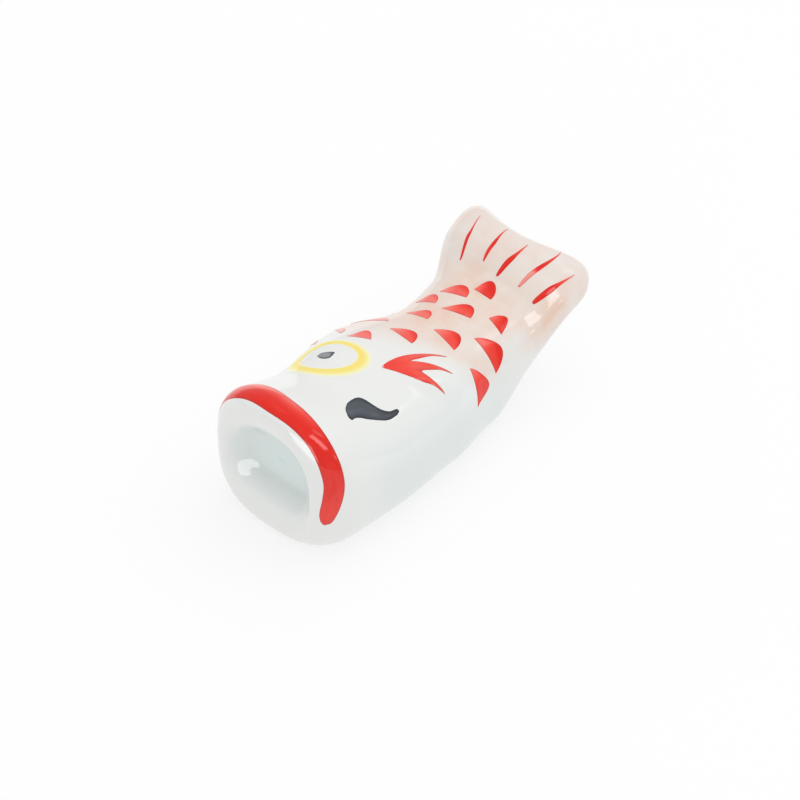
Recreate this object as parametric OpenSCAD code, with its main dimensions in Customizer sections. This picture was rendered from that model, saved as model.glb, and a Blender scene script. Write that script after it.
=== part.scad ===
// Chopstick rest in the shape of a carp streamer lying on its side.
// Solid porcelain under a clear glaze, with enamel brush marks fused onto the glaze.
// The mouth faces -Y, the tail +Y, the belly flank +X, and the foot stands on Z = 0.

/* [Body] */
// Distance along the body from the lip to the root of the tail's edge
length = 60; // [54:0.5:66]
// Width of the head across its widest section
head_w = 24.5; // [22:0.5:28]
// Height of the lip above the table
lip_top = 22.7; // [21:0.1:24]
// Height of the back at the waist, where the chopsticks lie
waist_top = 15.7; // [14.5:0.1:16.5]
// Height of the upper edge of the tail
tail_top = 20.4; // [19:0.1:22]
// Clearance of the tail's underside above the table
tail_lift = 11; // [9.5:0.1:11.2]

/* [Mouth] */
// How far back the rounding of the lip reaches
lip_reach = 4.4; // [3.6:0.1:4.6]
// How far in the rounding of the lip reaches
lip_inset = 3; // [2.4:0.1:3.6]
// Depth of the dished mouth
mouth_depth = 3; // [1.5:0.1:4]

/* [Tail] */
// Radius that rounds the corners of the tail, seen from above
tail_r = 7.5; // [5:0.5:8]
// Radius that rounds the thick edge of the tail
edge_r = 4.4; // [3.8:0.1:4.5]
// How far the middle of the tail's edge is drawn in
fork = 5.9; // [3:0.1:7]

/* [Relief] */
// Height of the mound under the eye
eye_relief = 1.3; // [0:0.1:1.4]
// Height of the pad under the pectoral fin
fin_relief = 0.5; // [0:0.1:0.8]

/* [Glaze and enamel] */
// Thickness of the clear glaze
glaze_t = 0.3; // [0.2:0.05:0.4]
// Bare height above the table where the glaze is wiped off the foot
foot_line = 0.4; // [0.3:0.05:0.8]
// Thickness of an enamel mark at its crown
enamel_t = 0.15; // [0.1:0.01:0.3]

/* [Hidden] */
SCALES = 15;
RAYS = 5;
function numbered(prefix, count) = [for (i = [1:count]) str(prefix, i < 10 ? "0" : "", i)];

PORCELAIN = "whitesmoke";
GLAZE = [0.9, 0.94, 0.92];
RED = [0.88, 0.13, 0.08];
YELLOW = [0.95, 0.88, 0.42];
SLATE = [0.3, 0.33, 0.37];

// The stations and marks below are laid out for a body of this length, and stretch with it.
laid_out = 60;
// The origin is under the middle of the outline.
shift = [0.8, 1.92 - length / 2, 0];
// The section reaches this far under the table, and the flat foot is cut there.
sink = 1;
// Exponents of the rounded section: nearly an ellipse above, boxier below.
upper_n = 2.35;
lower_n = 2.8;
// The rounding of the tail's edge always leaves a rim of this half thickness.
min_rim = 0.2;
edge_drop = min(edge_r, (tail_top - tail_lift) / 2 - min_rim);
// The tail's edge is drawn in from here on.
fork_start = 45;
// The mouth is dished wider than tall, and higher up than low down. Its wall is steeper
// on the belly side.
dish_n = 4;
dish_lean = 1.2;
dish_low = 0.4;
dish_rise = 0.08;
dish_low_n = 12;
// The unrolled map of the skin: one millimetre around is this many degrees.
around = 180 / (PI * 11);

// Body stations: [distance from the lip, half width, top, bottom, side offset].
half = head_w / 2;
STATIONS = [
    [0, 0.9 * half, lip_top, -sink, 0],
    [6, 0.97 * half, 20.2, -sink, 0.4],
    [15, 0.97 * half, 17.1, -sink, 0.4],
    [25, half, 16.7, -sink, -0.5],
    [35, 0.8 * half, waist_top, -sink, 0.1],
    [42, 0.78 * half, waist_top + 0.2, 4.3, -0.1],
    [50, 0.93 * half, 18.5, 9.3, -1.9],
    [60, 0.97 * half, tail_top, tail_lift, -3]
];
WIDTH = 1;
TOP = 2;
BOTTOM = 3;
SIDE = 4;

// ---- smooth curve through the rows of a table, column c, without overshoot ----
function chord(t, i, c) = (t[i + 1][c] - t[i][c]) / (t[i + 1][0] - t[i][0]);
function blend_slope(a, b) = a * b > 0 ? 2 * a * b / (a + b) : 0;
function slope(t, i, c) =
    i == 0 ? chord(t, 0, c) :
    i == len(t) - 1 ? chord(t, i - 1, c) :
    blend_slope(chord(t, i - 1, c), chord(t, i, c));
function span(t, u, i = 0) = i >= len(t) - 2 || u < t[i + 1][0] ? i : span(t, u, i + 1);
function curve(t, u, c) =
    let (i = span(t, u), h = t[i + 1][0] - t[i][0], s = min(1, max(0, (u - t[i][0]) / h)))
    (2 * s ^ 3 - 3 * s ^ 2 + 1) * t[i][c] + (s ^ 3 - 2 * s ^ 2 + s) * h * slope(t, i, c)
    + (3 * s ^ 2 - 2 * s ^ 3) * t[i + 1][c] + (s ^ 3 - s ^ 2) * h * slope(t, i + 1, c);

// ---- the skin: a point at u along the body and phi around it (90 is the back) ----
function section_r(phi) =
    let (n = sin(phi) >= 0 ? upper_n : lower_n)
    (abs(cos(phi)) ^ n + abs(sin(phi)) ^ n) ^ (-1 / n);
// Soft bumps: the mound under the eye, and the leaf-shaped pad under the fin.
// Mound: [u, phi] of its middle and its spreads. Pad: [u, v] of its middle, and its
// spreads along and across the leaf, which lies diagonally.
MOUND = [18.5, 118];
MOUND_SPREAD = [6, 40];
PAD = [25, 6];
PAD_SPREAD = [7.4, 3.8];
function eye_bump(u, phi) = eye_relief * exp(
    -((u - MOUND[0]) / MOUND_SPREAD[0]) ^ 2 - ((phi - MOUND[1]) / MOUND_SPREAD[1]) ^ 2);
function fin_bump(u, phi) =
    let (a = u - PAD[0], b = (90 - phi) / around - PAD[1],
         d2 = ((a + b) / PAD_SPREAD[0]) ^ 2 + ((a - b) / PAD_SPREAD[1]) ^ 2)
    fin_relief * exp(-d2 * d2);
function skin(u, phi, lift = 0) =
    let (
        at = u * laid_out / length,
        front = max(0, 1 - u / lip_reach),
        back = max(0, 1 - (length - u) / tail_r),
        lip = sqrt(1 - front * front),
        edge = sqrt(1 - back * back),
        push = lift * lip * edge,
        width = curve(STATIONS, at, WIDTH),
        top = curve(STATIONS, at, TOP),
        bottom = curve(STATIONS, at, BOTTOM),
        bump = eye_bump(at, phi) + fin_bump(at, phi),
        r = section_r(phi),
        x = (width - lip_inset * (1 - lip) - tail_r * (1 - edge) + push) * r * cos(phi),
        z = ((top - bottom) / 2 - lip_inset * (1 - lip) - edge_drop * (1 - edge) + push) * r * sin(phi),
        forked = min(1, max(0, (at - fork_start) / (laid_out - fork_start))),
        drawn_in = fork * forked * max(0, 1 - (x / width) ^ 2)
    )
    shift + [
        curve(STATIONS, at, SIDE) + x + bump * cos(phi),
        u - lift * front + lift * back - drawn_in,
        (top + bottom) / 2 + z + bump * sin(phi)
    ];
// The dished mouth: k runs from 0 at its middle to 1 at the crest of the lip.
function mouth(k, phi, lift = 0) =
    let (
        rim = skin(0, phi, lift),
        middle = shift + [0, -lift, (lip_top - sink) / 2],
        low = 1 - (dish_low - dish_rise * sin(phi)) * (1 - k ^ dish_low_n)
    )
    [
        middle[0] + k * (rim[0] - middle[0]),
        middle[1] + mouth_depth * (1 + cos(180 * k ^ (dish_n + dish_lean * cos(phi)))) / 2,
        middle[2] + k * low * (rim[2] - middle[2])
    ];

// ---- the closed form of the whole fish, lifted off the skin ----
SIDES = 52;
DISH = [0.2, 0.4, 0.56, 0.68, 0.77, 0.84, 0.9, 0.95];
LIP_STEPS = 7;
BODY_STEPS = 30;
TAIL_STEPS = 7;
function ring(u, lift) = [for (j = [0:SIDES - 1]) skin(u, 360 * j / SIDES, lift)];
function dish_ring(k, lift) = [for (j = [0:SIDES - 1]) mouth(k, 360 * j / SIDES, lift)];
STOPS = concat(
    [for (i = [0:LIP_STEPS - 1]) lip_reach * (1 - cos(90 * i / LIP_STEPS))],
    [for (i = [0:BODY_STEPS]) lip_reach + (length - tail_r - lip_reach) * i / BODY_STEPS],
    [for (i = [1:TAIL_STEPS]) length - tail_r * (1 - sin(90 * i / TAIL_STEPS))]);
module fish(lift = 0) {
    rings = concat([for (k = DISH) dish_ring(k, lift)], [for (u = STOPS) ring(u, lift)]);
    last = len(rings) - 1;
    points = concat([mouth(0, 0, lift)], [for (row = rings) each row]);
    function at(i, j) = 1 + i * SIDES + (j % SIDES);
    polyhedron(points, concat(
        [for (j = [0:SIDES - 1]) [0, at(0, j + 1), at(0, j)]],
        [for (i = [0:last - 1], j = [0:SIDES - 1]) each [
            [at(i, j), at(i + 1, j + 1), at(i + 1, j)],
            [at(i, j), at(i, j + 1), at(i + 1, j + 1)]]],
        // The thin end of the tail closes upper edge to lower edge.
        [for (j = [0:SIDES / 2 - 1]) [at(last, j), at(last, j + 1), at(last, SIDES - j - 1)]],
        [for (j = [1:SIDES / 2 - 1]) [at(last, j), at(last, SIDES - j - 1), at(last, SIDES - j)]]));
}
// Everything below height z.
WIDE = 100;
module below(z) {
    translate([-WIDE / 2, -WIDE / 2, z - WIDE]) cube(WIDE);
}

// ---- enamel marks ----
// Marks are drawn on the unrolled skin: u along the body, and v around it from the back
// towards the belly. A mark's top is crowned.
function phi_of(v) = 90 - v * around;
function on_map(u, v, lift) = skin(u * length / laid_out, phi_of(v), lift);
// Share of the enamel's thickness that is left at a mark's edge.
edge_share = 0.25;
function crown(w) = enamel_t * (edge_share + (1 - edge_share) * sqrt(max(0, 1 - w * w)));
module crossed_mark(rows, steps, across) {
    function crossed(t, w, raised) =
        let (share = (1 - w) / 2)
        on_map(
            (1 - share) * curve(rows, t, 1) + share * curve(rows, t, 3),
            (1 - share) * curve(rows, t, 2) + share * curve(rows, t, 4),
            raised ? crown(w) : 0);
    slab([for (raised = [0, 1]) [for (i = [0:steps]) [for (j = [0:across])
        crossed(i / steps, -1 + 2 * j / across, raised == 1)]]], steps, across);
}
// A closed slab from two grids of points: grids[0] is the underside, grids[1] the top.
module slab(grids, rows, cols) {
    size = (rows + 1) * (cols + 1);
    function at(g, i, j) = g * size + i * (cols + 1) + j;
    function tile(a, b, c, d) = [[a, b, c], [a, c, d]];
    polyhedron([for (g = grids, row = g) each row], concat(
        [for (i = [0:rows - 1], j = [0:cols - 1])
            each tile(at(1, i, j), at(1, i + 1, j), at(1, i + 1, j + 1), at(1, i, j + 1))],
        [for (i = [0:rows - 1], j = [0:cols - 1])
            each tile(at(0, i, j), at(0, i, j + 1), at(0, i + 1, j + 1), at(0, i + 1, j))],
        [for (i = [0:rows - 1]) each
            tile(at(0, i, 0), at(0, i + 1, 0), at(1, i + 1, 0), at(1, i, 0))],
        [for (i = [0:rows - 1]) each
            tile(at(0, i + 1, cols), at(0, i, cols), at(1, i, cols), at(1, i + 1, cols))],
        [for (j = [0:cols - 1]) each
            tile(at(0, 0, j + 1), at(0, 0, j), at(1, 0, j), at(1, 0, j + 1))],
        [for (j = [0:cols - 1]) each
            tile(at(0, rows, j), at(0, rows, j + 1), at(1, rows, j + 1), at(1, rows, j))]));
}

// Marks on the lip are placed by arc length m from its crest, so that they wrap it evenly.
function along(m) =
    let (turn = (lip_reach + lip_inset) * PI / 4)
    m < turn ? lip_reach * (1 - cos(90 * m / turn)) : lip_reach + m - turn;
// The lip band: [angle around the body, inner edge, outer edge], both as arc lengths.
BAND = [[-20, 2.1, 2.5], [-18, 1.8, 3.0], [-12, 1.6, 3.5], [4, 2.0, 4.3], [20, 2.4, 4.8],
    [50, 2.45, 5.2], [88, 2.05, 6.1], [110, 2.3, 6.6], [130, 2.45, 6.2], [150, 2.9, 5.6],
    [165, 3.0, 5.1], [182, 2.8, 4.5], [194, 2.7, 4.0], [198, 2.8, 3.6], [200, 3.0, 3.3]];

// Half-moon scales, a row of four or five at a time from the head back:
// [u, v of the back's tip, u, v of the belly's tip, depth towards the tail, skew,
// how finely the belly's tip is drawn out].
SCALE_MARKS = [
    [20.3, -12.6, 19.0, -8.3, 1.4, 0.6, 0.5],
    [24.2, -9.5, 22.4, -6.4, 1.2, 0.6, 0.5],
    [22.0, -4.9, 23.6, -2.3, 2.3, 0.75, 0.35],
    [27.7, -2.8, 27.3, 1.2, 2.2, 0.55, 0.6],
    [32.0, 0.7, 31.2, 5.3, 2.5, 0.58, 0.6],
    [35.2, 5.7, 35.1, 12.3, 2.65, 0.58, 0.75],
    [31.2, 8.8, 29.7, 14.8, 3.1, 0.58, 1.3],
    [27.0, -9.6, 29.2, -4.9, 1.5, 0.7, 0.4],
    [32.8, -5.7, 33.2, -1.9, 1.9, 0.65, 0.4],
    [36.3, -2.2, 37.4, 2.7, 2.3, 0.68, 0.35],
    [39.3, 4.7, 38.9, 8.0, 2.3, 0.5, 0.9],
    [31.4, -13.4, 33.2, -9.6, 1.8, 0.6, 0.5],
    [36.1, -7.6, 36.7, -4.0, 2.1, 0.5, 0.4],
    [39.2, -5.5, 40.1, -0.9, 2.2, 0.6, 0.4],
    [42.1, -1.1, 42.0, 2.4, 2.5, 0.5, 0.4]
];
// Width of a scale's pointed tips.
thin_tip = 0.03;
// Tail rays: [u, v at the root, u, v at the tip, half width of the stroke, bow].
RAY_MARKS = [
    [45.4, -6.4, 54.7, -6.4, 0.3, 0.5],
    [46.9, -2.0, 56.5, -1.3, 0.28, 0.3],
    [45.7, 0.9, 54.9, 2.9, 0.4, 0.25],
    [46.2, 4.9, 57.4, 7.7, 0.36, 0],
    [45.6, 8.3, 53.3, 11.1, 0.55, 0]
];
// A ray's width from root to tip: [share of its length, share of its half width].
RAY_WIDTH = [[0, 0.45], [0.12, 0.8], [0.4, 1], [0.7, 0.5], [1, 0.1]];
// The barbel is one comma, from its round head to its tip, and the pupil a slanted leaf.
// Each row crosses the mark: [t, u, v on the back's side, u, v on the belly's side].
BARBEL = [[0, 10.6, 3.8, 10.0, 4.4], [0.07, 11.8, 3.15, 9.45, 5.4], [0.16, 13.05, 2.95, 9.6, 5.85],
    [0.28, 13.8, 3.1, 10.45, 5.7], [0.38, 14.2, 3.6, 11.1, 5.85], [0.5, 14.4, 4.3, 11.9, 6.3],
    [0.62, 14.6, 5.1, 12.8, 6.75], [0.74, 14.9, 5.9, 13.7, 7.2], [0.84, 15.4, 6.5, 14.5, 7.55],
    [0.92, 16.0, 6.85, 15.4, 7.7], [0.97, 16.6, 6.95, 16.3, 7.7], [1, 17.0, 7.1, 16.95, 7.5]];
PUPIL = [[0, 16.35, -5.5, 16.05, -5.2], [0.2, 16.85, -5.35, 16.0, -4.75],
    [0.5, 17.3, -4.9, 16.3, -4.05], [0.8, 17.75, -4.3, 16.95, -3.75], [1, 17.95, -3.9, 17.8, -3.8]];
// The eye ring lies between two ellipses: [u, v, long half axis, short half axis].
EYE_INNER = [16.9, -4.15, 3.65, 2.36];
EYE_OUTER = [16.55, -4.1, 6.0, 3.9];
EYE_TILT = 46;
// The fin fans out from its root: [angle, reach], in a map that swirls as it goes out.
FIN_ROOT = [20.3, 1.8];
FIN_SWIRL = 2;
FIN_START = 0.06;
FIN_RAYS = [[-8, 0.4], [-1, 2.6], [0, 5], [0.5, 7.5], [2.8, 9.9], [3.8, 7.9], [6.2, 6.8],
    [10.4, 5.6], [15.6, 4.3], [17, 6.5], [19.8, 9.6], [21.5, 8], [25, 6.8], [33.7, 5.2],
    [38.6, 6.6], [42, 8.8], [44, 7], [50, 5.3], [56, 3], [62, 1], [70, 0.4]];

module porcelain_body() {
    color(PORCELAIN) difference() {
        fish(-glaze_t);
        below(0);
    }
}
// The glaze is fused onto the biscuit and stops short of the foot.
module clear_glaze() {
    color(GLAZE) resize([0, 0, 0]) difference() {
        fish();
        fish(-glaze_t);
        below(foot_line);
    }
}
module lip_band() {
    steps = 48;
    across = 5;
    function edge(t, raised) = [for (j = [0:across])
        let (phi = BAND[0][0] + t * (BAND[len(BAND) - 1][0] - BAND[0][0]),
             a = curve(BAND, phi, 1), b = curve(BAND, phi, 2), w = -1 + 2 * j / across)
        skin(along((a + b) / 2 + w * (b - a) / 2), phi, raised ? crown(w) : 0)];
    color(RED) slab([for (raised = [0, 1]) [for (i = [0:steps])
        edge((1 - cos(180 * i / steps)) / 2, raised == 1)]], steps, across);
}
// The yellow ring is broad towards the mouth and the back, and thin behind the eye.
module eye_ring() {
    steps = 40;
    across = 3;
    size = steps * (across + 1);
    function ring_at(i, j, raised) =
        let (a = 360 * i / steps, w = j / across, e = (1 - w) * EYE_INNER + w * EYE_OUTER,
             along_tilt = e[2] * sin(a), across_tilt = e[3] * cos(a),
             u = e[0] + along_tilt * sin(EYE_TILT) + across_tilt * cos(EYE_TILT),
             v = e[1] + along_tilt * cos(EYE_TILT) - across_tilt * sin(EYE_TILT))
        on_map(u, v, raised ? crown(2 * w - 1) : 0);
    function at(g, i, j) = g * size + (i % steps) * (across + 1) + j;
    function tile(a, b, c, d) = [[a, b, c], [a, c, d]];
    points = [for (g = [0, 1], i = [0:steps - 1], j = [0:across]) ring_at(i, j, g == 1)];
    color(YELLOW) polyhedron(points, [for (i = [0:steps - 1]) each concat(
        [for (j = [0:across - 1]) each
            tile(at(1, i, j), at(1, i, j + 1), at(1, i + 1, j + 1), at(1, i + 1, j))],
        [for (j = [0:across - 1]) each
            tile(at(0, i, j), at(0, i + 1, j), at(0, i + 1, j + 1), at(0, i, j + 1))],
        tile(at(0, i, 0), at(1, i, 0), at(1, i + 1, 0), at(0, i + 1, 0)),
        tile(at(0, i, across), at(0, i + 1, across), at(1, i + 1, across), at(1, i, across)))]);
}
module eye_pupil() {
    color(SLATE) crossed_mark(PUPIL, 12, 4);
}
module barbel() {
    color(SLATE) crossed_mark(BARBEL, 24, 4);
}
module pectoral_fin() {
    row_steps = 2;
    rays = row_steps * (len(FIN_RAYS) - 1);
    out = 4;
    function fin_at(i, j, raised) =
        let (row = floor(i / row_steps), next = min(row + 1, len(FIN_RAYS) - 1),
             angle = FIN_RAYS[row][0]
                 + (FIN_RAYS[next][0] - FIN_RAYS[row][0]) * (i / row_steps - row),
             r = (FIN_START + (1 - FIN_START) * j / out) * curve(FIN_RAYS, angle, 1),
             turn = angle + FIN_SWIRL * r)
        on_map(FIN_ROOT[0] + r * cos(turn), FIN_ROOT[1] + r * sin(turn),
            raised ? enamel_t * (1 - (1 - edge_share) * (j / out) ^ 4) : 0);
    color(RED) slab([for (raised = [0, 1]) [for (j = [0:out]) [for (i = [0:rays])
        fin_at(i, j, raised == 1)]]], out, rays);
}
// One half-moon: flat towards the head, round towards the tail.
module scale_mark(i) {
    steps = 12;
    across = 3;
    m = SCALE_MARKS[i];
    run = [m[2] - m[0], m[3] - m[1]];
    side = [run[1], -run[0]] / norm(run);
    function belly(t) = max(thin_tip, m[4] * max(0, sin(180 * t ^ (ln(0.5) / ln(m[5]))))
        ^ (0.5 + (m[6] - 0.5) * t));
    function moon_at(t, w, raised) =
        let (p = [m[0], m[1]] + t * run + belly(t) * (w + 1) / 2 * side)
        on_map(p[0], p[1], raised ? crown(w) : 0);
    color(RED) slab([for (raised = [0, 1]) [for (k = [0:steps]) [for (j = [0:across])
        moon_at((1 - cos(180 * k / steps)) / 2, 1 - 2 * j / across, raised == 1)]]],
        steps, across);
}
// A stroke whose cross lines all run the same way, so that its tips stay sharp.
module straight_stroke(path, side, steps, across) {
    slab([for (raised = [0, 1]) [for (i = [0:steps]) [for (j = [0:across])
        let (t = i / steps, w = -1 + 2 * j / across, reach = -w * curve(path, t, 3))
        on_map(curve(path, t, 1) + reach * side[0], curve(path, t, 2) + reach * side[1],
            raised ? crown(w) : 0)]]], steps, across);
}
module tail_ray(i) {
    m = RAY_MARKS[i];
    run = [m[2] - m[0], m[3] - m[1]];
    side = [run[1], -run[0]] / norm(run);
    path = [for (p = RAY_WIDTH)
        let (middle = [m[0], m[1]] + p[0] * run - 4 * m[5] * p[0] * (1 - p[0]) * side)
        [p[0], middle[0], middle[1], m[4] * p[1]]];
    color(RED) straight_stroke(path, side, 12, 3);
}

porcelain_body();
clear_glaze();
lip_band();
eye_ring();
eye_pupil();
barbel();
pectoral_fin();
for (i = [0:SCALES - 1])
    scale_mark(i);
for (i = [0:RAYS - 1])
    tail_ray(i);
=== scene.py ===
"""Looks of a hand-painted porcelain chopstick rest, shaped as a carp streamer on its side.

The biscuit, the glaze and every enamel mark lie on one skin formula. The formula works in
millimetres, and fit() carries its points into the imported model's own box, in metres.
u runs along the body from the lip to the tail. phi runs around it, with 90 at the back.
The unrolled map is (u, v), where v is measured around from the back towards the belly.
"""

import math

import bmesh
import bpy
import numpy as np
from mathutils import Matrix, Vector


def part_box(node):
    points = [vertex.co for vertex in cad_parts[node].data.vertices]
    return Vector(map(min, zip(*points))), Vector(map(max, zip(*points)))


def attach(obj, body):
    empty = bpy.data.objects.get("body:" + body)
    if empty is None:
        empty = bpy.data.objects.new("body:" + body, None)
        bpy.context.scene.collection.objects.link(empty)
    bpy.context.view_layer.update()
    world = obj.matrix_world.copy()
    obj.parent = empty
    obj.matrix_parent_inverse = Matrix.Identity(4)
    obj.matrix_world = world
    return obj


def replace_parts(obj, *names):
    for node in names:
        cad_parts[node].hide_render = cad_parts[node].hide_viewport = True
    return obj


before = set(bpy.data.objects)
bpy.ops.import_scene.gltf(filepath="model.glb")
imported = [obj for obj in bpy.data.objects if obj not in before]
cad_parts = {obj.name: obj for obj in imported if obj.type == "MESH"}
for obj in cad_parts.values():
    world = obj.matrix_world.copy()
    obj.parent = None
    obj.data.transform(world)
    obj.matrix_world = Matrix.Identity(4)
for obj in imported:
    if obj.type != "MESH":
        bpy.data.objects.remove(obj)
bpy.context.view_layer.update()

# ---- sizes of the skin, in millimetres ----
LENGTH = 60.0
HALF_W = 12.25
LIP_TOP = 22.7
SINK = 1.0
LIP_REACH = 4.4
LIP_INSET = 3.0
MOUTH_DEPTH = 3.0
DISH_N, DISH_LEAN = 4, 1.2
DISH_LOW, DISH_RISE, DISH_LOW_N = 0.4, 0.08, 12
TAIL_R = 7.5
EDGE_R = 4.4
FORK = 5.9
GLAZE_T = 0.3
FOOT_LINE = 0.4
OFF_SIDE, OFF_MIDDLE = 0.8, 1.92
SHIFT = np.array([OFF_SIDE, OFF_MIDDLE - LENGTH / 2, 0.0])
UNROLLED_R = 11.0
AROUND = 180 / (math.pi * UNROLLED_R)
UPPER_N, LOWER_N = 2.35, 2.8
FORK_START = 45.0
# The eye mound: height, then place and spread along and around the body.
EYE_RELIEF = 1.3
MOUND_U, MOUND_PHI = 18.5, 118
MOUND_LONG, MOUND_ROUND = 6, 40
# The fin pad: height, place, and its spread along and across its slant.
FIN_RELIEF = 0.5
PAD_U, PAD_V = 25, 6
PAD_LONG, PAD_ACROSS = 7.4, 3.8

# Body stations: distance from the lip, half width, top, bottom, side offset.
STATIONS = np.array([
    [0, 0.9 * HALF_W, LIP_TOP, -SINK, 0],
    [6, 0.97 * HALF_W, 20.2, -SINK, 0.4],
    [15, 0.97 * HALF_W, 17.1, -SINK, 0.4],
    [25, HALF_W, 16.7, -SINK, -0.5],
    [35, 0.8 * HALF_W, 15.7, -SINK, 0.1],
    [42, 0.78 * HALF_W, 15.9, 4.3, -0.1],
    [50, 0.93 * HALF_W, 18.5, 9.3, -1.9],
    [60, 0.97 * HALF_W, 20.4, 11.0, -3],
])


# ---- the skin ----
def curve(rows, x, column):
    """Smooth curve through a table's rows, without overshoot."""
    rows = np.asarray(rows, float)
    at, y = rows[:, 0], rows[:, column]
    chord = np.diff(y) / np.diff(at)
    slope = np.concatenate([chord[:1], np.zeros(len(y) - 2), chord[-1:]])
    same = chord[:-1] * chord[1:] > 0
    safe = np.where(same, chord[:-1] + chord[1:], 1.0)
    slope[1:-1] = np.where(same, 2 * chord[:-1] * chord[1:] / safe, 0.0)
    x = np.asarray(x, float)
    i = np.clip(np.searchsorted(at, x, side="right") - 1, 0, len(at) - 2)
    h = at[i + 1] - at[i]
    s = np.clip((x - at[i]) / h, 0, 1)
    start = (2 * s**3 - 3 * s**2 + 1) * y[i] + (s**3 - 2 * s**2 + s) * h * slope[i]
    return start + (3 * s**2 - 2 * s**3) * y[i + 1] + (s**3 - s**2) * h * slope[i + 1]


def gauss(x, middle, spread):
    return np.exp(-(((x - middle) / spread) ** 2))


def smoothstep(low, high, x):
    s = np.clip((x - low) / (high - low), 0, 1)
    return s * s * (3 - 2 * s)


def phi_of(v):
    return 90 - v * AROUND


def v_of(phi):
    """Distance around from the back, from -half way round to +half way round."""
    return ((90 - phi + 180) % 360 - 180) / AROUND


def eye_mound(u, phi):
    around = gauss(phi_of(v_of(phi)), MOUND_PHI, MOUND_ROUND)
    return EYE_RELIEF * gauss(u, MOUND_U, MOUND_LONG) * around


def fin_pad(u, phi):
    a, b = u - PAD_U, v_of(phi) - PAD_V
    return FIN_RELIEF * np.exp(-((((a + b) / PAD_LONG) ** 2 + ((a - b) / PAD_ACROSS) ** 2) ** 2))


def skin(u, phi, lift=0.0):
    """Points of the skin in millimetres. u, phi and lift may be arrays."""
    u, phi, lift = np.broadcast_arrays(np.asarray(u, float), phi, lift)
    c, s = np.cos(np.radians(phi)), np.sin(np.radians(phi))
    front = np.maximum(0, 1 - u / LIP_REACH)
    back = np.maximum(0, 1 - (LENGTH - u) / TAIL_R)
    lip, edge = np.sqrt(1 - front**2), np.sqrt(np.maximum(0, 1 - back**2))
    push = lift * lip * edge
    width, top, bottom, side = (curve(STATIONS, u, k) for k in (1, 2, 3, 4))
    n = np.where(s >= 0, UPPER_N, LOWER_N)
    r = (np.abs(c) ** n + np.abs(s) ** n) ** (-1 / n)
    x = (width - LIP_INSET * (1 - lip) - TAIL_R * (1 - edge) + push) * r * c
    z = ((top - bottom) / 2 - LIP_INSET * (1 - lip) - EDGE_R * (1 - edge) + push) * r * s
    tail_share = np.clip((u - FORK_START) / (LENGTH - FORK_START), 0, 1)
    drawn_in = FORK * tail_share * np.maximum(0, 1 - (x / width) ** 2)
    bump = eye_mound(u, phi) + fin_pad(u, phi)
    y = u - lift * front + lift * back - drawn_in
    return SHIFT + np.stack([side + x + bump * c, y, (top + bottom) / 2 + z + bump * s], -1)


def recess(k, phi):
    """Depth of the dish as a share: 1 on its floor, 0 at the crest of the lip."""
    return (1 + np.cos(math.pi * k ** (DISH_N + DISH_LEAN * np.cos(np.radians(phi))))) / 2


def mouth(k, phi, lift=0.0):
    """The recessed mouth: k runs from 0 at its middle to 1 at the crest of the lip."""
    k, phi = np.broadcast_arrays(np.asarray(k, float), phi)
    rim = skin(0.0, phi, lift)
    middle = SHIFT + np.array([0, -lift, (LIP_TOP - SINK) / 2])
    low = 1 - (DISH_LOW - DISH_RISE * np.sin(np.radians(phi))) * (1 - k**DISH_LOW_N)
    sunk = MOUTH_DEPTH * recess(k, phi)
    spread = (rim - middle) * np.stack([k, np.zeros_like(k), k * low], -1)
    return middle + spread + np.stack([0 * k, sunk, 0 * k], -1)


def along(m):
    """u at arc length m from the crest of the lip."""
    turn = (LIP_REACH + LIP_INSET) * math.pi / 4
    m = np.asarray(m, float)
    rounded = LIP_REACH * (1 - np.cos(math.pi / 2 * np.clip(m / turn, 0, 1)))
    return np.where(m < turn, rounded, LIP_REACH + m - turn)


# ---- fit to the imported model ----
AROUND_STEPS = 176
MOUTH_STEPS, LIP_STEPS, BODY_STEPS, TAIL_STEPS = 56, 16, 104, 18


def body_stops():
    """u of each ring from the crest of the lip to the tail's edge."""
    lip = LIP_REACH * (1 - np.cos(np.linspace(0, math.pi / 2, LIP_STEPS, endpoint=False)))
    straight = np.linspace(LIP_REACH, LENGTH - TAIL_R, BODY_STEPS, endpoint=False)
    tail = LENGTH - TAIL_R * (1 - np.sin(np.linspace(0, math.pi / 2, TAIL_STEPS)))
    return np.concatenate([lip, straight, tail])


def mouth_stops():
    """k of each ring from the middle of the mouth out to the crest of the lip."""
    return np.linspace(0, 1, MOUTH_STEPS + 1)[1:-1] ** 0.5


PHIS = np.linspace(0, 360, AROUND_STEPS, endpoint=False)
outline = skin(body_stops()[:, None], PHIS)
low, high = (np.array(c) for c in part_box("clear_glaze"))
skin_low, skin_high = outline.min((0, 1)), outline.max((0, 1))
# The foot is cut off flat at z = 0, so height is fitted from there.
skin_low[2] = 0.0
low[2] = 0.0
SCALE = (high - low) / (skin_high - skin_low)
OFFSET = low - skin_low * SCALE
MM = float(SCALE.mean())


def fit(points):
    return np.asarray(points) * SCALE + OFFSET


# ---- meshes ----
def build(name, points, faces, attributes=None, sharp_angle=50):
    """A closed mesh piece on the root body, with named per-point attributes."""
    mesh = bpy.data.meshes.new(name)
    mesh.from_pydata(fit(points).tolist(), [], faces)
    for key, values in (attributes or {}).items():
        layer = mesh.attributes.new(key, "FLOAT", "POINT")
        layer.data.foreach_set("value", np.asarray(values, np.float32).ravel())
    mesh.validate()
    turn_outward(mesh)
    mesh.shade_smooth()
    mesh.set_sharp_from_angle(angle=math.radians(sharp_angle))
    piece = bpy.data.objects.new(name, mesh)
    bpy.context.scene.collection.objects.link(piece)
    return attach(piece, "root")


def turn_outward(mesh):
    bm = bmesh.new()
    bm.from_mesh(mesh)
    if bm.calc_volume(signed=True) < 0:
        bmesh.ops.reverse_faces(bm, faces=bm.faces)
    bm.to_mesh(mesh)
    bm.free()


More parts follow.
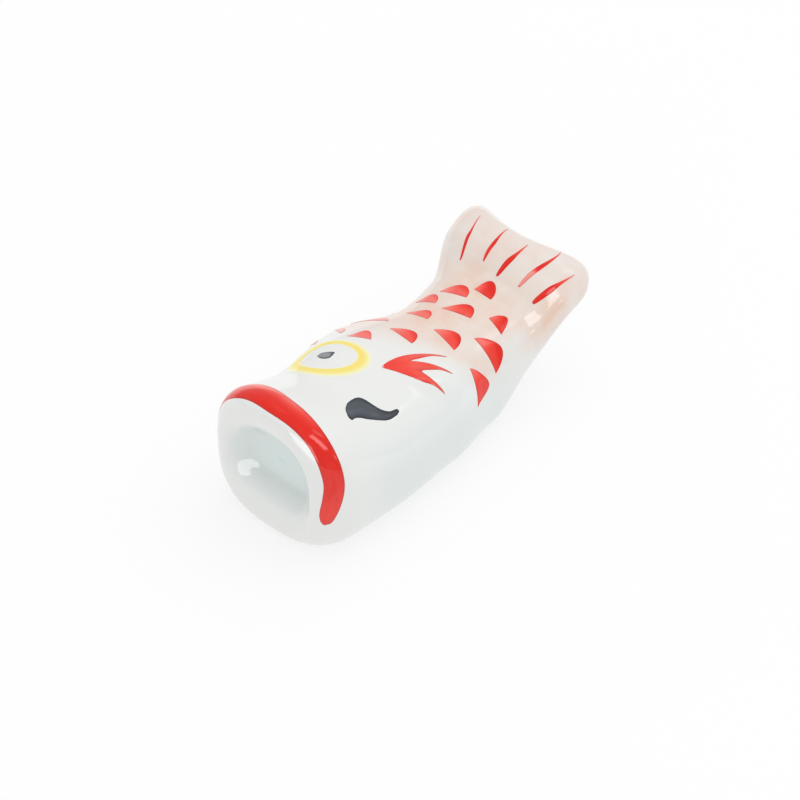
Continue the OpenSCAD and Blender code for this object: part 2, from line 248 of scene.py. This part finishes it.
def grid_faces(rows, cols, start=0, wrap=False):
    """Quads of a grid of points. With wrap, the last column joins the first."""
    faces = []
    last = cols if wrap else cols - 1
    for i in range(rows - 1):
        for j in range(last):
            a, b = start + i * cols + j, start + i * cols + (j + 1) % cols
            faces.append((a, b, b + cols, a + cols))
    return faces


def slab_faces(rows, cols, ring=False):
    """Faces of a slab: a top grid, a bottom grid after it, and the walls between them.
    With ring, the rows close on themselves."""
    size = rows * cols
    faces = []
    last = rows if ring else rows - 1
    for i in range(last):
        k = (i + 1) % rows
        for j in range(cols - 1):
            quad = (i * cols + j, i * cols + j + 1, k * cols + j + 1, k * cols + j)
            faces.append(quad)
            faces.append(tuple(size + q for q in reversed(quad)))
        for a, b in ((k * cols, i * cols), (i * cols + cols - 1, k * cols + cols - 1)):
            faces.append((a, b, size + b, size + a))
    if not ring:
        end = (rows - 1) * cols
        for j in range(cols - 1):
            faces.append((j + 1, j, size + j, size + j + 1))
            faces.append((end + j, end + j + 1, size + end + j + 1, size + end + j))
    return faces


# Enamel marks: height in the middle and at the edges, how deep they are sunk in the
# glaze, how squarely they are crowned, and the crease angle that stays sharp.
ENAMEL_T = 0.07
EDGE_T = 0.012
SUNK = -0.03
CROWN_N, FIN_CROWN_N = 4, 6
MARK_CREASE = 70


def crown(w):
    """Height of an enamel mark at w across it, from -1 to 1."""
    return EDGE_T + (ENAMEL_T - EDGE_T) * (1 - w**CROWN_N)


def mark(name, place, rows, cols, attributes, ring=False):
    """An enamel mark: place(t, w, lift) gives its points for t along and w across.
    The rim attribute is 1 at its outline, where the pigment gathers."""
    t = np.linspace(0, 1, rows, endpoint=not ring)
    t = t if ring else (1 - np.cos(math.pi * t)) / 2
    t, w = np.meshgrid(t, np.linspace(-1, 1, cols), indexing="ij")
    top, under = place(t, w, crown(w)), place(t, w, SUNK)
    points = np.concatenate([top.reshape(-1, 3), under.reshape(-1, 3)])
    values = {k: np.tile(np.asarray(f(t, w)).ravel(), 2) for k, f in attributes.items()}
    ends = 0 * t if ring else np.abs(2 * t - 1) ** 40
    values["rim"] = np.tile(np.maximum(w**6, ends).ravel(), 2)
    piece = build(f"{name}_enamel", points, slab_faces(rows, cols, ring), values, MARK_CREASE)
    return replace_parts(piece, name)


# ---- glaze and biscuit ----
def peach(u, v):
    """Strength of the peach wash that is airbrushed over the back, waist and tail."""
    edge = 10 + 8 * smoothstep(38, 47, u)
    between = (1 - smoothstep(edge, edge + 6, v)) * smoothstep(-26, -12, v)
    body = smoothstep(23, 31, u - 0.5 * v) * between
    crease = 0.35 * gauss(u, 43.5, 2.2) * gauss(v, 1, 9)
    root = 0.8 * gauss(u, 46.5, 4) * gauss(v, 12, 2.6)
    waist = 0.5 * gauss(u, 37, 6) * gauss(v, -3, 7)
    fin = 0.4 * gauss(u - 0.4 * v, 29, 1.5) * gauss(v, 7, 5)
    # Painted highlight: the wash is left off a patch on the waist's shoulder, towards the belly, so plain
    # white glaze shows where a highlight falls.
    highlight_gap = 0.8 * gauss(u, 39.5, 3.5) * gauss(v, 11.5, 3)
    return np.clip((0.55 * body + crease + waist + fin) * (1 - highlight_gap) + root, 0, 1)


# Shares of the celadon colour: painted shade on the body's sides, and in the dish the green of pooled
# glaze with painted shade that deepens with depth.
SIDE_SHADE, DISH_POOL_AND_SHADE = 0.3, 0.6


def pool_and_shade(u, v):
    """Painted shade: the sides of the body are painted darker and greener."""
    middle = smoothstep(3, 12, u) * (1 - smoothstep(33, 41, u))
    return SIDE_SHADE * smoothstep(6, 16, np.abs(v)) * middle


def glaze_attributes(rows_u, rows_depth):
    """Peach wash, and pooled glaze with painted shade, at each point, row by row."""
    v = np.broadcast_to(v_of(PHIS), (len(rows_u), AROUND_STEPS))
    u = np.broadcast_to(np.asarray(rows_u)[:, None], v.shape)
    inside = rows_depth > 0
    # In the dish, the green of pooled glaze and painted shade grow with depth. On the body, the sides get
    # painted shade.
    pooled_and_shaded = np.where(inside, DISH_POOL_AND_SHADE * rows_depth, pool_and_shade(u, v))
    return {"peach": peach(u, v) * ~inside, "pool_and_shade": pooled_and_shaded}


def shell_rings(lift):
    """Rings of points from the middle of the mouth to the tail's edge."""
    inner = mouth(mouth_stops()[:, None], PHIS, lift)
    return np.concatenate([inner, skin(body_stops()[:, None], PHIS, lift)])


def shell_faces(rings, start):
    """Faces of a closed form: a fan in the mouth, a tube, and a seam along the tail's edge."""
    n = AROUND_STEPS
    faces = [(start, start + 1 + j, start + 1 + (j + 1) % n) for j in range(n)]
    faces += [tuple(reversed(f)) for f in grid_faces(rings, n, start + 1, wrap=True)]
    last = start + 1 + (rings - 1) * n
    faces.append((last, last + 1, last + n - 1))
    for j in range(1, n // 2 - 1):
        faces.append((last + j, last + j + 1, last + n - j - 1, last + n - j))
    faces.append((last + n // 2 - 1, last + n // 2, last + n // 2 + 1))
    return faces


ROLL_TOP, ROLL_IN = 1.1, 0.22


def roll_in(rings):
    """The glaze rolls in at its lower edge, where it was wiped off the foot."""
    z = rings[..., 2]
    roll = np.clip((ROLL_TOP - z) / (ROLL_TOP - FOOT_LINE), 0, 1) ** 2
    middle = rings.mean(axis=-2, keepdims=True)
    away = rings - middle
    away[..., 2] = 0
    size = np.maximum(np.linalg.norm(away, axis=-1, keepdims=True), 1e-6)
    return rings - ROLL_IN * roll[..., None] * away / size


def clear_glaze():
    outer, inner = shell_rings(0.0), shell_rings(-GLAZE_T)
    outer = roll_in(outer)
    rings = len(outer)
    centres = [mouth(0.0, 0.0, lift) for lift in (0.0, -GLAZE_T)]
    points = np.concatenate([
        centres[0][None], outer.reshape(-1, 3), centres[1][None], inner.reshape(-1, 3)
    ])
    size = 1 + rings * AROUND_STEPS
    inside = [tuple(reversed(f)) for f in shell_faces(rings, size)]
    depth = recess(mouth_stops()[:, None], PHIS)
    us = np.concatenate([np.zeros(len(depth)), body_stops()])
    flat = np.zeros((len(body_stops()), AROUND_STEPS))
    values = glaze_attributes(us, np.concatenate([depth, flat]))
    # The dish's middle gets no peach, and the full pooled green with painted shade.
    at_centre = {"peach": 0.0, "pool_and_shade": 1.0}
    values = {k: np.tile(np.concatenate([[at_centre[k]], a.ravel()]), 2) for k, a in values.items()}
    piece = build("clear_glaze_skin", points, shell_faces(rings, 0) + inside, values)
    open_foot(piece.data, FOOT_LINE * MM)
    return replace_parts(piece, "clear_glaze")


def open_foot(mesh, height):
    """Cuts a shell off at this height, and joins its outer and inner edge."""
    bm = bmesh.new()
    bm.from_mesh(mesh)
    bmesh.ops.bisect_plane(
        bm, geom=bm.verts[:] + bm.edges[:] + bm.faces[:], dist=1e-7,
        plane_co=(0, 0, height), plane_no=(0, 0, 1), clear_inner=True,
    )
    rim = [e for e in bm.edges if e.is_boundary]
    bmesh.ops.bridge_loops(bm, edges=rim)
    bmesh.ops.recalc_face_normals(bm, faces=bm.faces)
    bm.to_mesh(mesh)
    bm.free()


def biscuit():
    rings = shell_rings(-GLAZE_T)
    points = np.concatenate([mouth(0.0, 0.0, -GLAZE_T)[None], rings.reshape(-1, 3)])
    points[:, 2] = np.maximum(points[:, 2], 0)
    piece = build("porcelain_biscuit", points, shell_faces(len(rings), 0))
    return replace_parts(piece, "porcelain_body")


# ---- enamel marks, placed on the unrolled map ----
# The lip band: angle around the body, inner edge, outer edge, as arc lengths from the crest.
BAND = [
    [-20, 2.1, 2.5], [-18, 1.8, 3.0], [-12, 1.6, 3.5], [4, 2.0, 4.3], [20, 2.4, 4.8],
    [50, 2.45, 5.2], [88, 2.05, 6.1], [110, 2.3, 6.6], [130, 2.45, 6.2], [150, 2.9, 5.6],
    [165, 3.0, 5.1], [182, 2.8, 4.5], [194, 2.7, 4.0], [198, 2.8, 3.6], [200, 3.0, 3.3],
]
# Half-moon scales: u, v of the back's tip, u, v of the belly's tip, depth, skew, how finely
# the belly's tip is drawn out, strength of the colour.
SCALES = [
    [20.3, -12.6, 19.0, -8.3, 1.4, 0.6, 0.5, 0.2],
    [24.2, -9.5, 22.4, -6.4, 1.2, 0.6, 0.5, 0.25],
    [22.0, -4.9, 23.6, -2.3, 2.3, 0.75, 0.35, 0.6],
    [27.7, -2.8, 27.3, 1.2, 2.2, 0.55, 0.6, 0.85],
    [32.0, 0.7, 31.2, 5.3, 2.5, 0.58, 0.6, 0.95],
    [35.2, 5.7, 35.1, 12.3, 2.65, 0.58, 0.75, 1.15],
    [31.2, 8.8, 29.7, 14.8, 3.1, 0.58, 1.3, 1.25],
    [27.0, -9.6, 29.2, -4.9, 1.5, 0.7, 0.4, 0.35],
    [32.8, -5.7, 33.2, -1.9, 1.9, 0.65, 0.4, 0.65],
    [36.3, -2.2, 37.4, 2.7, 2.3, 0.68, 0.35, 0.9],
    [39.3, 4.7, 38.9, 8.0, 2.3, 0.5, 0.9, 1.2],
    [31.4, -13.4, 33.2, -9.6, 1.8, 0.6, 0.5, 0.35],
    [36.1, -7.6, 36.7, -4.0, 2.1, 0.5, 0.4, 0.6],
    [39.2, -5.5, 40.1, -0.9, 2.2, 0.6, 0.4, 0.8],
    [42.1, -1.1, 42.0, 2.4, 2.5, 0.5, 0.4, 1.25],
]
# The least width of a scale.
THIN_TIP = 0.06
# Tail rays: u, v at the root, u, v at the tip, half width, bow to the belly side, and how
# much paler the lower end is.
RAYS = [
    [45.4, -6.4, 54.7, -6.4, 0.3, 0.5, 0.0],
    [46.9, -2.0, 56.5, -1.3, 0.28, 0.3, 0.1],
    [45.7, 0.9, 54.9, 2.9, 0.4, 0.25, 0.0],
    [46.2, 4.9, 57.4, 7.7, 0.36, 0.0, 0.65],
    [45.6, 8.3, 53.3, 11.1, 0.55, 0.0, 0.0],
]
# A ray's width from root to tip: share of its length, share of its half width.
RAY_WIDTH = [[0, 0.45], [0.12, 0.8], [0.4, 1], [0.7, 0.5], [1, 0.1]]
# The barbel is a comma from its round head to its tip, and the pupil a slanted leaf.
# Each row crosses the mark: t, u, v on the back's side, u, v on the belly's side.
BARBEL = [
    [0, 10.6, 3.8, 10.0, 4.4], [0.07, 11.8, 3.15, 9.45, 5.4], [0.16, 13.05, 2.95, 9.6, 5.85],
    [0.28, 13.8, 3.1, 10.45, 5.7], [0.38, 14.2, 3.6, 11.1, 5.85], [0.5, 14.4, 4.3, 11.9, 6.3],
    [0.62, 14.6, 5.1, 12.8, 6.75], [0.74, 14.9, 5.9, 13.7, 7.2], [0.84, 15.4, 6.5, 14.5, 7.55],
    [0.92, 16.0, 6.85, 15.4, 7.7], [0.97, 16.6, 6.95, 16.3, 7.7], [1, 17.0, 7.1, 16.95, 7.5],
]
PUPIL = [
    [0, 16.35, -5.5, 16.05, -5.2], [0.2, 16.85, -5.35, 16.0, -4.75],
    [0.5, 17.3, -4.9, 16.3, -4.05], [0.8, 17.75, -4.3, 16.95, -3.75], [1, 17.95, -3.9, 17.8, -3.8],
]
# The eye ring lies between two ellipses: u, v, long half axis, short half axis.
EYE_INNER = np.array([16.9, -4.15, 3.65, 2.36])
EYE_OUTER = np.array([16.55, -4.1, 6.0, 3.9])
EYE_TILT = math.radians(46)
# The fin fans out from its root: angle, reach, in a map that swirls as it goes out.
FIN_ROOT = (20.3, 1.8)
FIN_SWIRL = 2
FIN_START = 0.06
FIN_REACH = 10
FIN_RAYS = [
    [-8, 0.4], [-1, 2.6], [0, 5], [0.5, 7.5], [2.8, 9.9], [3.8, 7.9], [6.2, 6.8], [10.4, 5.6],
    [15.6, 4.3], [17, 6.5], [19.8, 9.6], [21.5, 8], [25, 6.8], [33.7, 5.2], [38.6, 6.6],
    [42, 8.8], [44, 7], [50, 5.3], [56, 3], [62, 1], [70, 0.4],
]


def on_map(u, v, lift):
    return skin(u, phi_of(v), lift)


def beside(row, t, reach):
    """u and v at t along a mark that runs straight from start to end, and this far beside it."""
    start, end = np.array(row[0:2]), np.array(row[2:4])
    run = end - start
    side = np.array([run[1], -run[0]]) / np.hypot(*run)
    return (start[k] + t * run[k] + reach * side[k] for k in (0, 1))


def crossed_place(rows):
    """Places a mark between its two edges, from rows [t, u, v, u, v]."""

    def place(t, w, lift):
        share = (1 - w) / 2
        u = (1 - share) * curve(rows, t, 1) + share * curve(rows, t, 3)
        v = (1 - share) * curve(rows, t, 2) + share * curve(rows, t, 4)
        return on_map(u, v, lift)

    return place


def lip_band():
    def place(t, w, lift):
        phi = BAND[0][0] + t * (BAND[-1][0] - BAND[0][0])
        a, b = curve(BAND, phi, 1), curve(BAND, phi, 2)
        return skin(along((a + b) / 2 + w * (b - a) / 2), phi, lift)

    def pigment(t, w):
        top = smoothstep(0.3, 0.5, t) * (1 - smoothstep(0.85, 1, t))
        near_end = 1 - smoothstep(0.0, 0.25, t)
        return 1.0 - 0.45 * top * smoothstep(0.0, 0.9, w) - 0.15 * near_end

    attributes = {"pigment": pigment, "run": lambda t, w: 60 * t, "cross": lambda t, w: 1.7 * w}
    return mark("lip_band", place, 200, 17, attributes)


def eye_ring():
    def place(t, w, lift):
        a, share = 2 * math.pi * t, (w + 1) / 2
        u0, v0, long, short = ((1 - share) * i + share * o for i, o in zip(EYE_INNER, EYE_OUTER))
        ahead, aside = long * np.sin(a), short * np.cos(a)
        u = u0 + ahead * math.sin(EYE_TILT) + aside * math.cos(EYE_TILT)
        v = v0 + ahead * math.cos(EYE_TILT) - aside * math.sin(EYE_TILT)
        return on_map(u, v, lift)

    def pigment(t, w):
        return smoothstep(-1, -0.75, w) * (1 - smoothstep(-0.3, 1, w))

    attributes = {"pigment": pigment, "run": lambda t, w: 30 * t, "cross": lambda t, w: w}
    return mark("eye_ring", place, 128, 15, attributes, ring=True)


def slate_mark(name, path, rows, cols, strength):
    attributes = {
        "pigment": lambda t, w: strength * (1 - 0.5 * w**CROWN_N) * (1 - 0.5 * smoothstep(0.6, 1, t)),
        "run": lambda t, w: 8 * t, "cross": lambda t, w: 1.5 * w,
    }
    return mark(name, crossed_place(path), rows, cols, attributes)


def pectoral_fin():
    """The fin's grid runs out from its root, with the same number of rays between two rows."""
    out, row_steps = 14, 8
    rows = np.arange(len(FIN_RAYS))
    steps = np.linspace(0, rows[-1], row_steps * rows[-1] + 1)
    angle = np.interp(steps, rows, [row[0] for row in FIN_RAYS])
    share = np.linspace(0, 1, out)[:, None]
    r = (FIN_START + (1 - FIN_START) * share) * curve(FIN_RAYS, angle, 1)
    turn = np.radians(angle + FIN_SWIRL * r)
    u, v = FIN_ROOT[0] + r * np.cos(turn), FIN_ROOT[1] + r * np.sin(turn)
    height = EDGE_T + (ENAMEL_T - EDGE_T) * (1 - share**FIN_CROWN_N)
    top, under = on_map(u, v, height), on_map(u, v, SUNK)
    points = np.concatenate([top.reshape(-1, 3), under.reshape(-1, 3)])
    reach = r / FIN_REACH
    pigment = 0.78 - 0.12 * smoothstep(0.1, 0.5, reach) - 0.2 * smoothstep(0.6, 1, reach)
    values = {"pigment": pigment, "run": r, "cross": np.degrees(turn) / 10, "rim": share**8 + 0 * r}
    values = {k: np.tile(a.ravel(), 2) for k, a in values.items()}
    piece = build("pectoral_fin_enamel", points, slab_faces(out, len(angle)), values, MARK_CREASE)
    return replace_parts(piece, "pectoral_fin")


def half_moon(t, depth, skew, fine):
    """Width of a scale at t along it: blunt at first, then drawn out towards the belly."""
    bend = np.maximum(0, np.sin(math.pi * t ** (math.log(0.5) / math.log(skew))))
    return np.maximum(THIN_TIP, depth * bend ** (0.5 + (fine - 0.5) * t))


def scale_mark(number, row):
    depth, skew, fine, strength = row[4:]

    def place(t, w, lift):
        reach = half_moon(t, depth, skew, fine) * (w + 1) / 2
        return on_map(*beside(row, t, reach), lift)

    def pigment(t, w):
        tip = smoothstep(0.0, 0.5, t + 0.15 * w)
        deep = smoothstep(-0.5, 0.8, w) * smoothstep(0.25, 0.7, t)
        return strength * (0.4 + 0.3 * tip + 0.36 * deep)

    attributes = {"pigment": pigment, "run": lambda t, w: 5 * t, "cross": lambda t, w: w}
    return mark(f"scale_{number:02d}", place, 56, 17, attributes)


def tail_ray(number, row):
    half_width, bow, pale = row[4:]

    def place(t, w, lift):
        reach = w * half_width * curve(RAY_WIDTH, t, 1) - 4 * bow * t * (1 - t)
        return on_map(*beside(row, t, reach), lift)

    def pigment(t, w):
        lower = 1 - pale * (1 - smoothstep(0.3, 0.42, t))
        return lower * (1 - 0.6 * smoothstep(0.45, 1, t))

    attributes = {"pigment": pigment, "run": lambda t, w: 10 * t, "cross": lambda t, w: w}
    return mark(f"tail_ray_{number:02d}", place, 56, 11, attributes)


# ---- materials ----
class Nodes:
    """Short calls for building a material's node tree."""

    def __init__(self, name):
        self.material = bpy.data.materials.new(name)
        self.material.use_nodes = True
        self.tree = self.material.node_tree
        self.shader = self.tree.nodes["Principled BSDF"]

    def add(self, kind, **settings):
        node = self.tree.nodes.new(kind)
        for key, value in settings.items():
            setattr(node, key, value)
        return node

    def link(self, source, target):
        self.tree.links.new(source, target)

    def attribute(self, name):
        return self.add("ShaderNodeAttribute", attribute_name=name).outputs["Fac"]

    def math(self, operation, a, b):
        node = self.add("ShaderNodeMath", operation=operation)
        for socket, value in zip(node.inputs, (a, b)):
            self.feed(socket, value)
        return node.outputs[0]

    def feed(self, socket, value):
        if isinstance(value, bpy.types.NodeSocket):
            self.link(value, socket)
        else:
            socket.default_value = value

    def noise(self, size, detail=2.0, rough=0.5, vector=None):
        """Noise with features of this size in metres, from about 0 to 1."""
        node = self.add("ShaderNodeTexNoise")
        node.inputs["Scale"].default_value = 1 / size
        node.inputs["Detail"].default_value = detail
        node.inputs["Roughness"].default_value = rough
        self.link(vector or self.place(), node.inputs["Vector"])
        return node.outputs["Fac"]

    def place(self):
        return self.add("ShaderNodeTexCoord").outputs["Object"]

    def brush(self, stretch):
        """Coordinates along a stroke, squeezed so that noise runs into streaks."""
        node = self.add("ShaderNodeCombineXYZ")
        self.link(self.math("MULTIPLY", self.attribute("run"), 1 / stretch), node.inputs["X"])
        self.link(self.attribute("cross"), node.inputs["Y"])
        return node.outputs[0]

    def ramp(self, value, stops):
        node = self.add("ShaderNodeValToRGB")
        while len(node.color_ramp.elements) < len(stops):
            node.color_ramp.elements.new(0.5)
        for element, (at, colour) in zip(node.color_ramp.elements, stops):
            element.position = at
            element.color = (*colour, 1)
        self.link(value, node.inputs["Fac"])
        return node.outputs["Color"]

    def mix(self, amount, a, b):
        node = self.add("ShaderNodeMix", data_type="RGBA")
        self.feed(node.inputs["Factor"], amount)
        for socket, value in zip((node.inputs[6], node.inputs[7]), (a, b)):
            self.feed(socket, value if isinstance(value, bpy.types.NodeSocket) else (*value, 1))
        return node.outputs[2]

    def bump(self, height, strength, distance):
        node = self.add("ShaderNodeBump")
        node.inputs["Strength"].default_value = strength
        node.inputs["Distance"].default_value = distance
        self.link(height, node.inputs["Height"])
        self.link(node.outputs["Normal"], self.shader.inputs["Normal"])

    def set(self, **values):
        for key, value in values.items():
            self.feed(self.shader.inputs[key.replace("_", " ")], value)


WHITE = (0.79, 0.80, 0.785)
# Celadon is the green of pooled glaze. It also stands in as painted shade.
CELADON_AND_SHADE = (0.60, 0.72, 0.70)
PEACH = (0.76, 0.575, 0.44)
PINK = (0.80, 0.555, 0.475)


def glaze_white(n):
    """The glaze's own white, clouded slightly."""
    cloud = n.noise(0.006, detail=3)
    return n.mix(cloud, tuple(0.985 * c for c in WHITE), WHITE)


def glaze_material():
    n = Nodes("clear_glaze")
    # The glaze white is mixed towards celadon: pooled glaze and painted shade in the dish, painted shade
    # on the sides.
    pooled_and_shaded = n.mix(n.attribute("pool_and_shade"), glaze_white(n), CELADON_AND_SHADE)
    hue = n.mix(n.noise(0.005, detail=1), PEACH, PINK)
    cloud = n.ramp(n.noise(0.0045, detail=5, rough=0.6), [(0.3, (0.45,) * 3), (0.7, (1.2,) * 3)])
    wash = n.math("MULTIPLY", n.attribute("peach"), cloud)
    n.set(Base_Color=n.mix(n.math("MINIMUM", wash, 1.0), pooled_and_shaded, hue))
    n.set(Roughness=n.math("ADD", n.math("MULTIPLY", n.noise(0.004), 0.05), 0.06), IOR=1.5)
    n.bump(n.noise(0.007, detail=1), 0.25, 0.0001)
    return n.material


def enamel_material(name, stops, roughness, streak, stretch, rim=None, rim_share=0.0):
    """Brushed enamel: pigment runs through a colour ramp and is streaked along the stroke.
    rim is the colour of its outline, if that differs."""
    n = Nodes(name)
    lines = n.noise(1.0, detail=4, vector=n.brush(stretch))
    varied = n.math("MULTIPLY", n.math("SUBTRACT", lines, 0.5), streak)
    colour = n.ramp(n.math("ADD", n.attribute("pigment"), varied), stops)
    if rim:
        colour = n.mix(n.math("MULTIPLY", n.attribute("rim"), rim_share), colour, rim)
    n.set(Base_Color=colour)
    n.set(Roughness=n.math("ADD", n.math("MULTIPLY", n.noise(0.001), 0.06), roughness), IOR=1.5)
    n.bump(n.noise(0.0006, detail=2), 0.15, 0.00003)
    return n.material


RED_STOPS = [
    (0.0, (0.80, 0.66, 0.60)), (0.2, (0.82, 0.42, 0.38)), (0.45, (0.87, 0.18, 0.15)),
    (0.7, (0.86, 0.065, 0.045)), (1.0, (0.74, 0.014, 0.006)),
]
YELLOW_STOPS = [
    (0.0, WHITE), (0.35, (0.86, 0.83, 0.50)), (0.75, (0.88, 0.79, 0.30)), (1.0, (0.88, 0.72, 0.19)),
]
SLATE_STOPS = [
    (0.0, (0.01, 0.012, 0.016)), (0.35, (0.035, 0.043, 0.054)), (0.6, (0.07, 0.083, 0.10)),
    (1.0, (0.27, 0.29, 0.31)),
]
BROWN = (0.36, 0.04, 0.025)
BLACK = (0.012, 0.014, 0.018)


def biscuit_material():
    n = Nodes("porcelain_biscuit")
    n.set(Base_Color=n.mix(n.noise(0.0004, detail=4), (0.62, 0.58, 0.52), (0.74, 0.71, 0.66)))
    n.set(Roughness=n.math("ADD", n.math("MULTIPLY", n.noise(0.0003), 0.2), 0.6))
    n.bump(n.noise(0.0002, detail=4), 0.4, 0.00004)
    return n.material


def floor_material():
    n = Nodes("floor")
    n.set(Base_Color=n.mix(n.noise(0.05), (0.25, 0.25, 0.25), (0.255, 0.255, 0.255)), Roughness=0.9)
    n.set(Emission_Color=(1, 1, 1, 1), Emission_Strength=0.7)
    return n.material


def finish_with(piece, material):
    piece.data.materials.append(material)
    return piece


# ---- the pieces ----
red = enamel_material("red_enamel", RED_STOPS, 0.07, streak=0.35, stretch=6, rim=BROWN, rim_share=0.45)
yellow = enamel_material("yellow_enamel", YELLOW_STOPS, 0.08, streak=0.15, stretch=6)
slate = enamel_material("slate_enamel", SLATE_STOPS, 0.2, streak=0.3, stretch=4, rim=BLACK, rim_share=0.8)

finish_with(biscuit(), biscuit_material())
finish_with(clear_glaze(), glaze_material())
finish_with(lip_band(), red)
finish_with(eye_ring(), yellow)
finish_with(slate_mark("eye_pupil", PUPIL, 30, 13, 1.0), slate)
finish_with(slate_mark("barbel", BARBEL, 80, 17, 0.6), slate)
finish_with(pectoral_fin(), red)
for i, row in enumerate(SCALES):
    finish_with(scale_mark(i + 1, row), red)
for i, row in enumerate(RAYS):
    finish_with(tail_ray(i + 1, row), red)


# ---- floor, light and camera ----
def direction(azimuth, elevation):
    """Towards a viewer or lamp. Azimuth 0 is at -Y, and 90 is at +X."""
    a, e = math.radians(azimuth), math.radians(elevation)
    return Vector((math.sin(a) * math.cos(e), -math.cos(a) * math.cos(e), math.sin(e)))


def add_floor():
    side = 4.0
    corners = [(x, y, 0) for x, y in ((-side, -side), (side, -side), (side, side), (-side, side))]
    mesh = bpy.data.meshes.new("floor")
    mesh.from_pydata(corners, [], [(0, 1, 2, 3)])
    mesh.materials.append(floor_material())
    floor = bpy.data.objects.new("floor", mesh)
    bpy.context.scene.collection.objects.link(floor)


def add_softbox(name, centre, toward, width, height, radiance):
    """A rectangular lamp whose face has this radiance."""
    lamp = bpy.data.lights.new(name, "AREA")
    lamp.shape = "RECTANGLE"
    lamp.size, lamp.size_y = width, height
    lamp.energy = radiance * math.pi * width * height
    holder = bpy.data.objects.new(name, lamp)
    bpy.context.scene.collection.objects.link(holder)
    holder.location = centre
    holder.rotation_euler = (Vector(toward) - Vector(centre)).to_track_quat("-Z", "Y").to_euler()
    return holder


def add_world(light, reflected):
    """An even white room. It shows dimmer as a reflection than it is as light."""
    world = bpy.data.worlds.new("studio")
    world.use_nodes = True
    tree = world.node_tree
    background = tree.nodes["Background"]
    background.inputs["Color"].default_value = (1, 1, 1, 1)
    path, level = tree.nodes.new("ShaderNodeLightPath"), tree.nodes.new("ShaderNodeMapRange")
    level.inputs["To Min"].default_value, level.inputs["To Max"].default_value = light, reflected
    tree.links.new(path.outputs["Is Glossy Ray"], level.inputs["Value"])
    tree.links.new(level.outputs["Result"], background.inputs["Strength"])
    bpy.context.scene.world = world


def add_camera(target, azimuth, elevation, distance, lens, shift):
    data = bpy.data.cameras.new("camera")
    data.lens, data.sensor_width = lens, SENSOR
    data.shift_x, data.shift_y = shift
    data.clip_start, data.clip_end = 0.01, 100
    camera = bpy.data.objects.new("camera", data)
    bpy.context.scene.collection.objects.link(camera)
    camera.location = target + direction(azimuth, elevation) * distance
    camera.rotation_euler = (target - camera.location).to_track_quat("-Z", "Y").to_euler()
    bpy.context.scene.camera = camera


def add_panes(target, distance):
    """Bright panes that show only as reflections."""
    for i, (azimuth, elevation, width, height, radiance) in enumerate(PANES):
        centre = target + direction(azimuth, elevation) * distance
        pane = add_softbox(f"pane_{i + 1}", centre, target, width, height, radiance)
        pane.visible_diffuse = False


# The camera looks at a point above the middle of the body, at this height in millimetres.
TARGET_HEIGHT = 8
CAMERA_AT = (42.7, 40.8)
CAMERA_DISTANCE = 0.516
# Width of the view at the target, in metres, and of the sensor, in millimetres.
VIEW_WIDTH = 0.10929
SENSOR = 36
LENS = SENSOR * CAMERA_DISTANCE / VIEW_WIDTH
CAMERA_SHIFT = (-0.0253, -0.0265)
# Reflected panes: azimuth, elevation, width, height, radiance.
PANES = [
    [97, 52, 0.17, 0.3, 3.8], [149, 52, 0.12, 0.18, 1.2], [107, 21, 0.07, 0.08, 2.5],
    [17, 18, 0.44, 0.34, 4],
]
OVERHEAD_OFFSET = Vector((0.1, 0.35, 1.1))
OVERHEAD_SIDE = 1.2

centre = (low + high) / 2 + np.array([OFF_SIDE, OFF_MIDDLE, 0]) * MM
middle = Vector((centre[0], centre[1], TARGET_HEIGHT * MM))
add_floor()
add_world(0.88, 0.5)
overhead = add_softbox("overhead", middle + OVERHEAD_OFFSET, middle, OVERHEAD_SIDE, OVERHEAD_SIDE, 0.95)
overhead.visible_glossy = False
add_panes(middle, 0.6)
add_camera(middle, *CAMERA_AT, CAMERA_DISTANCE, LENS, CAMERA_SHIFT)
bpy.context.scene.view_settings.view_transform = "Standard"
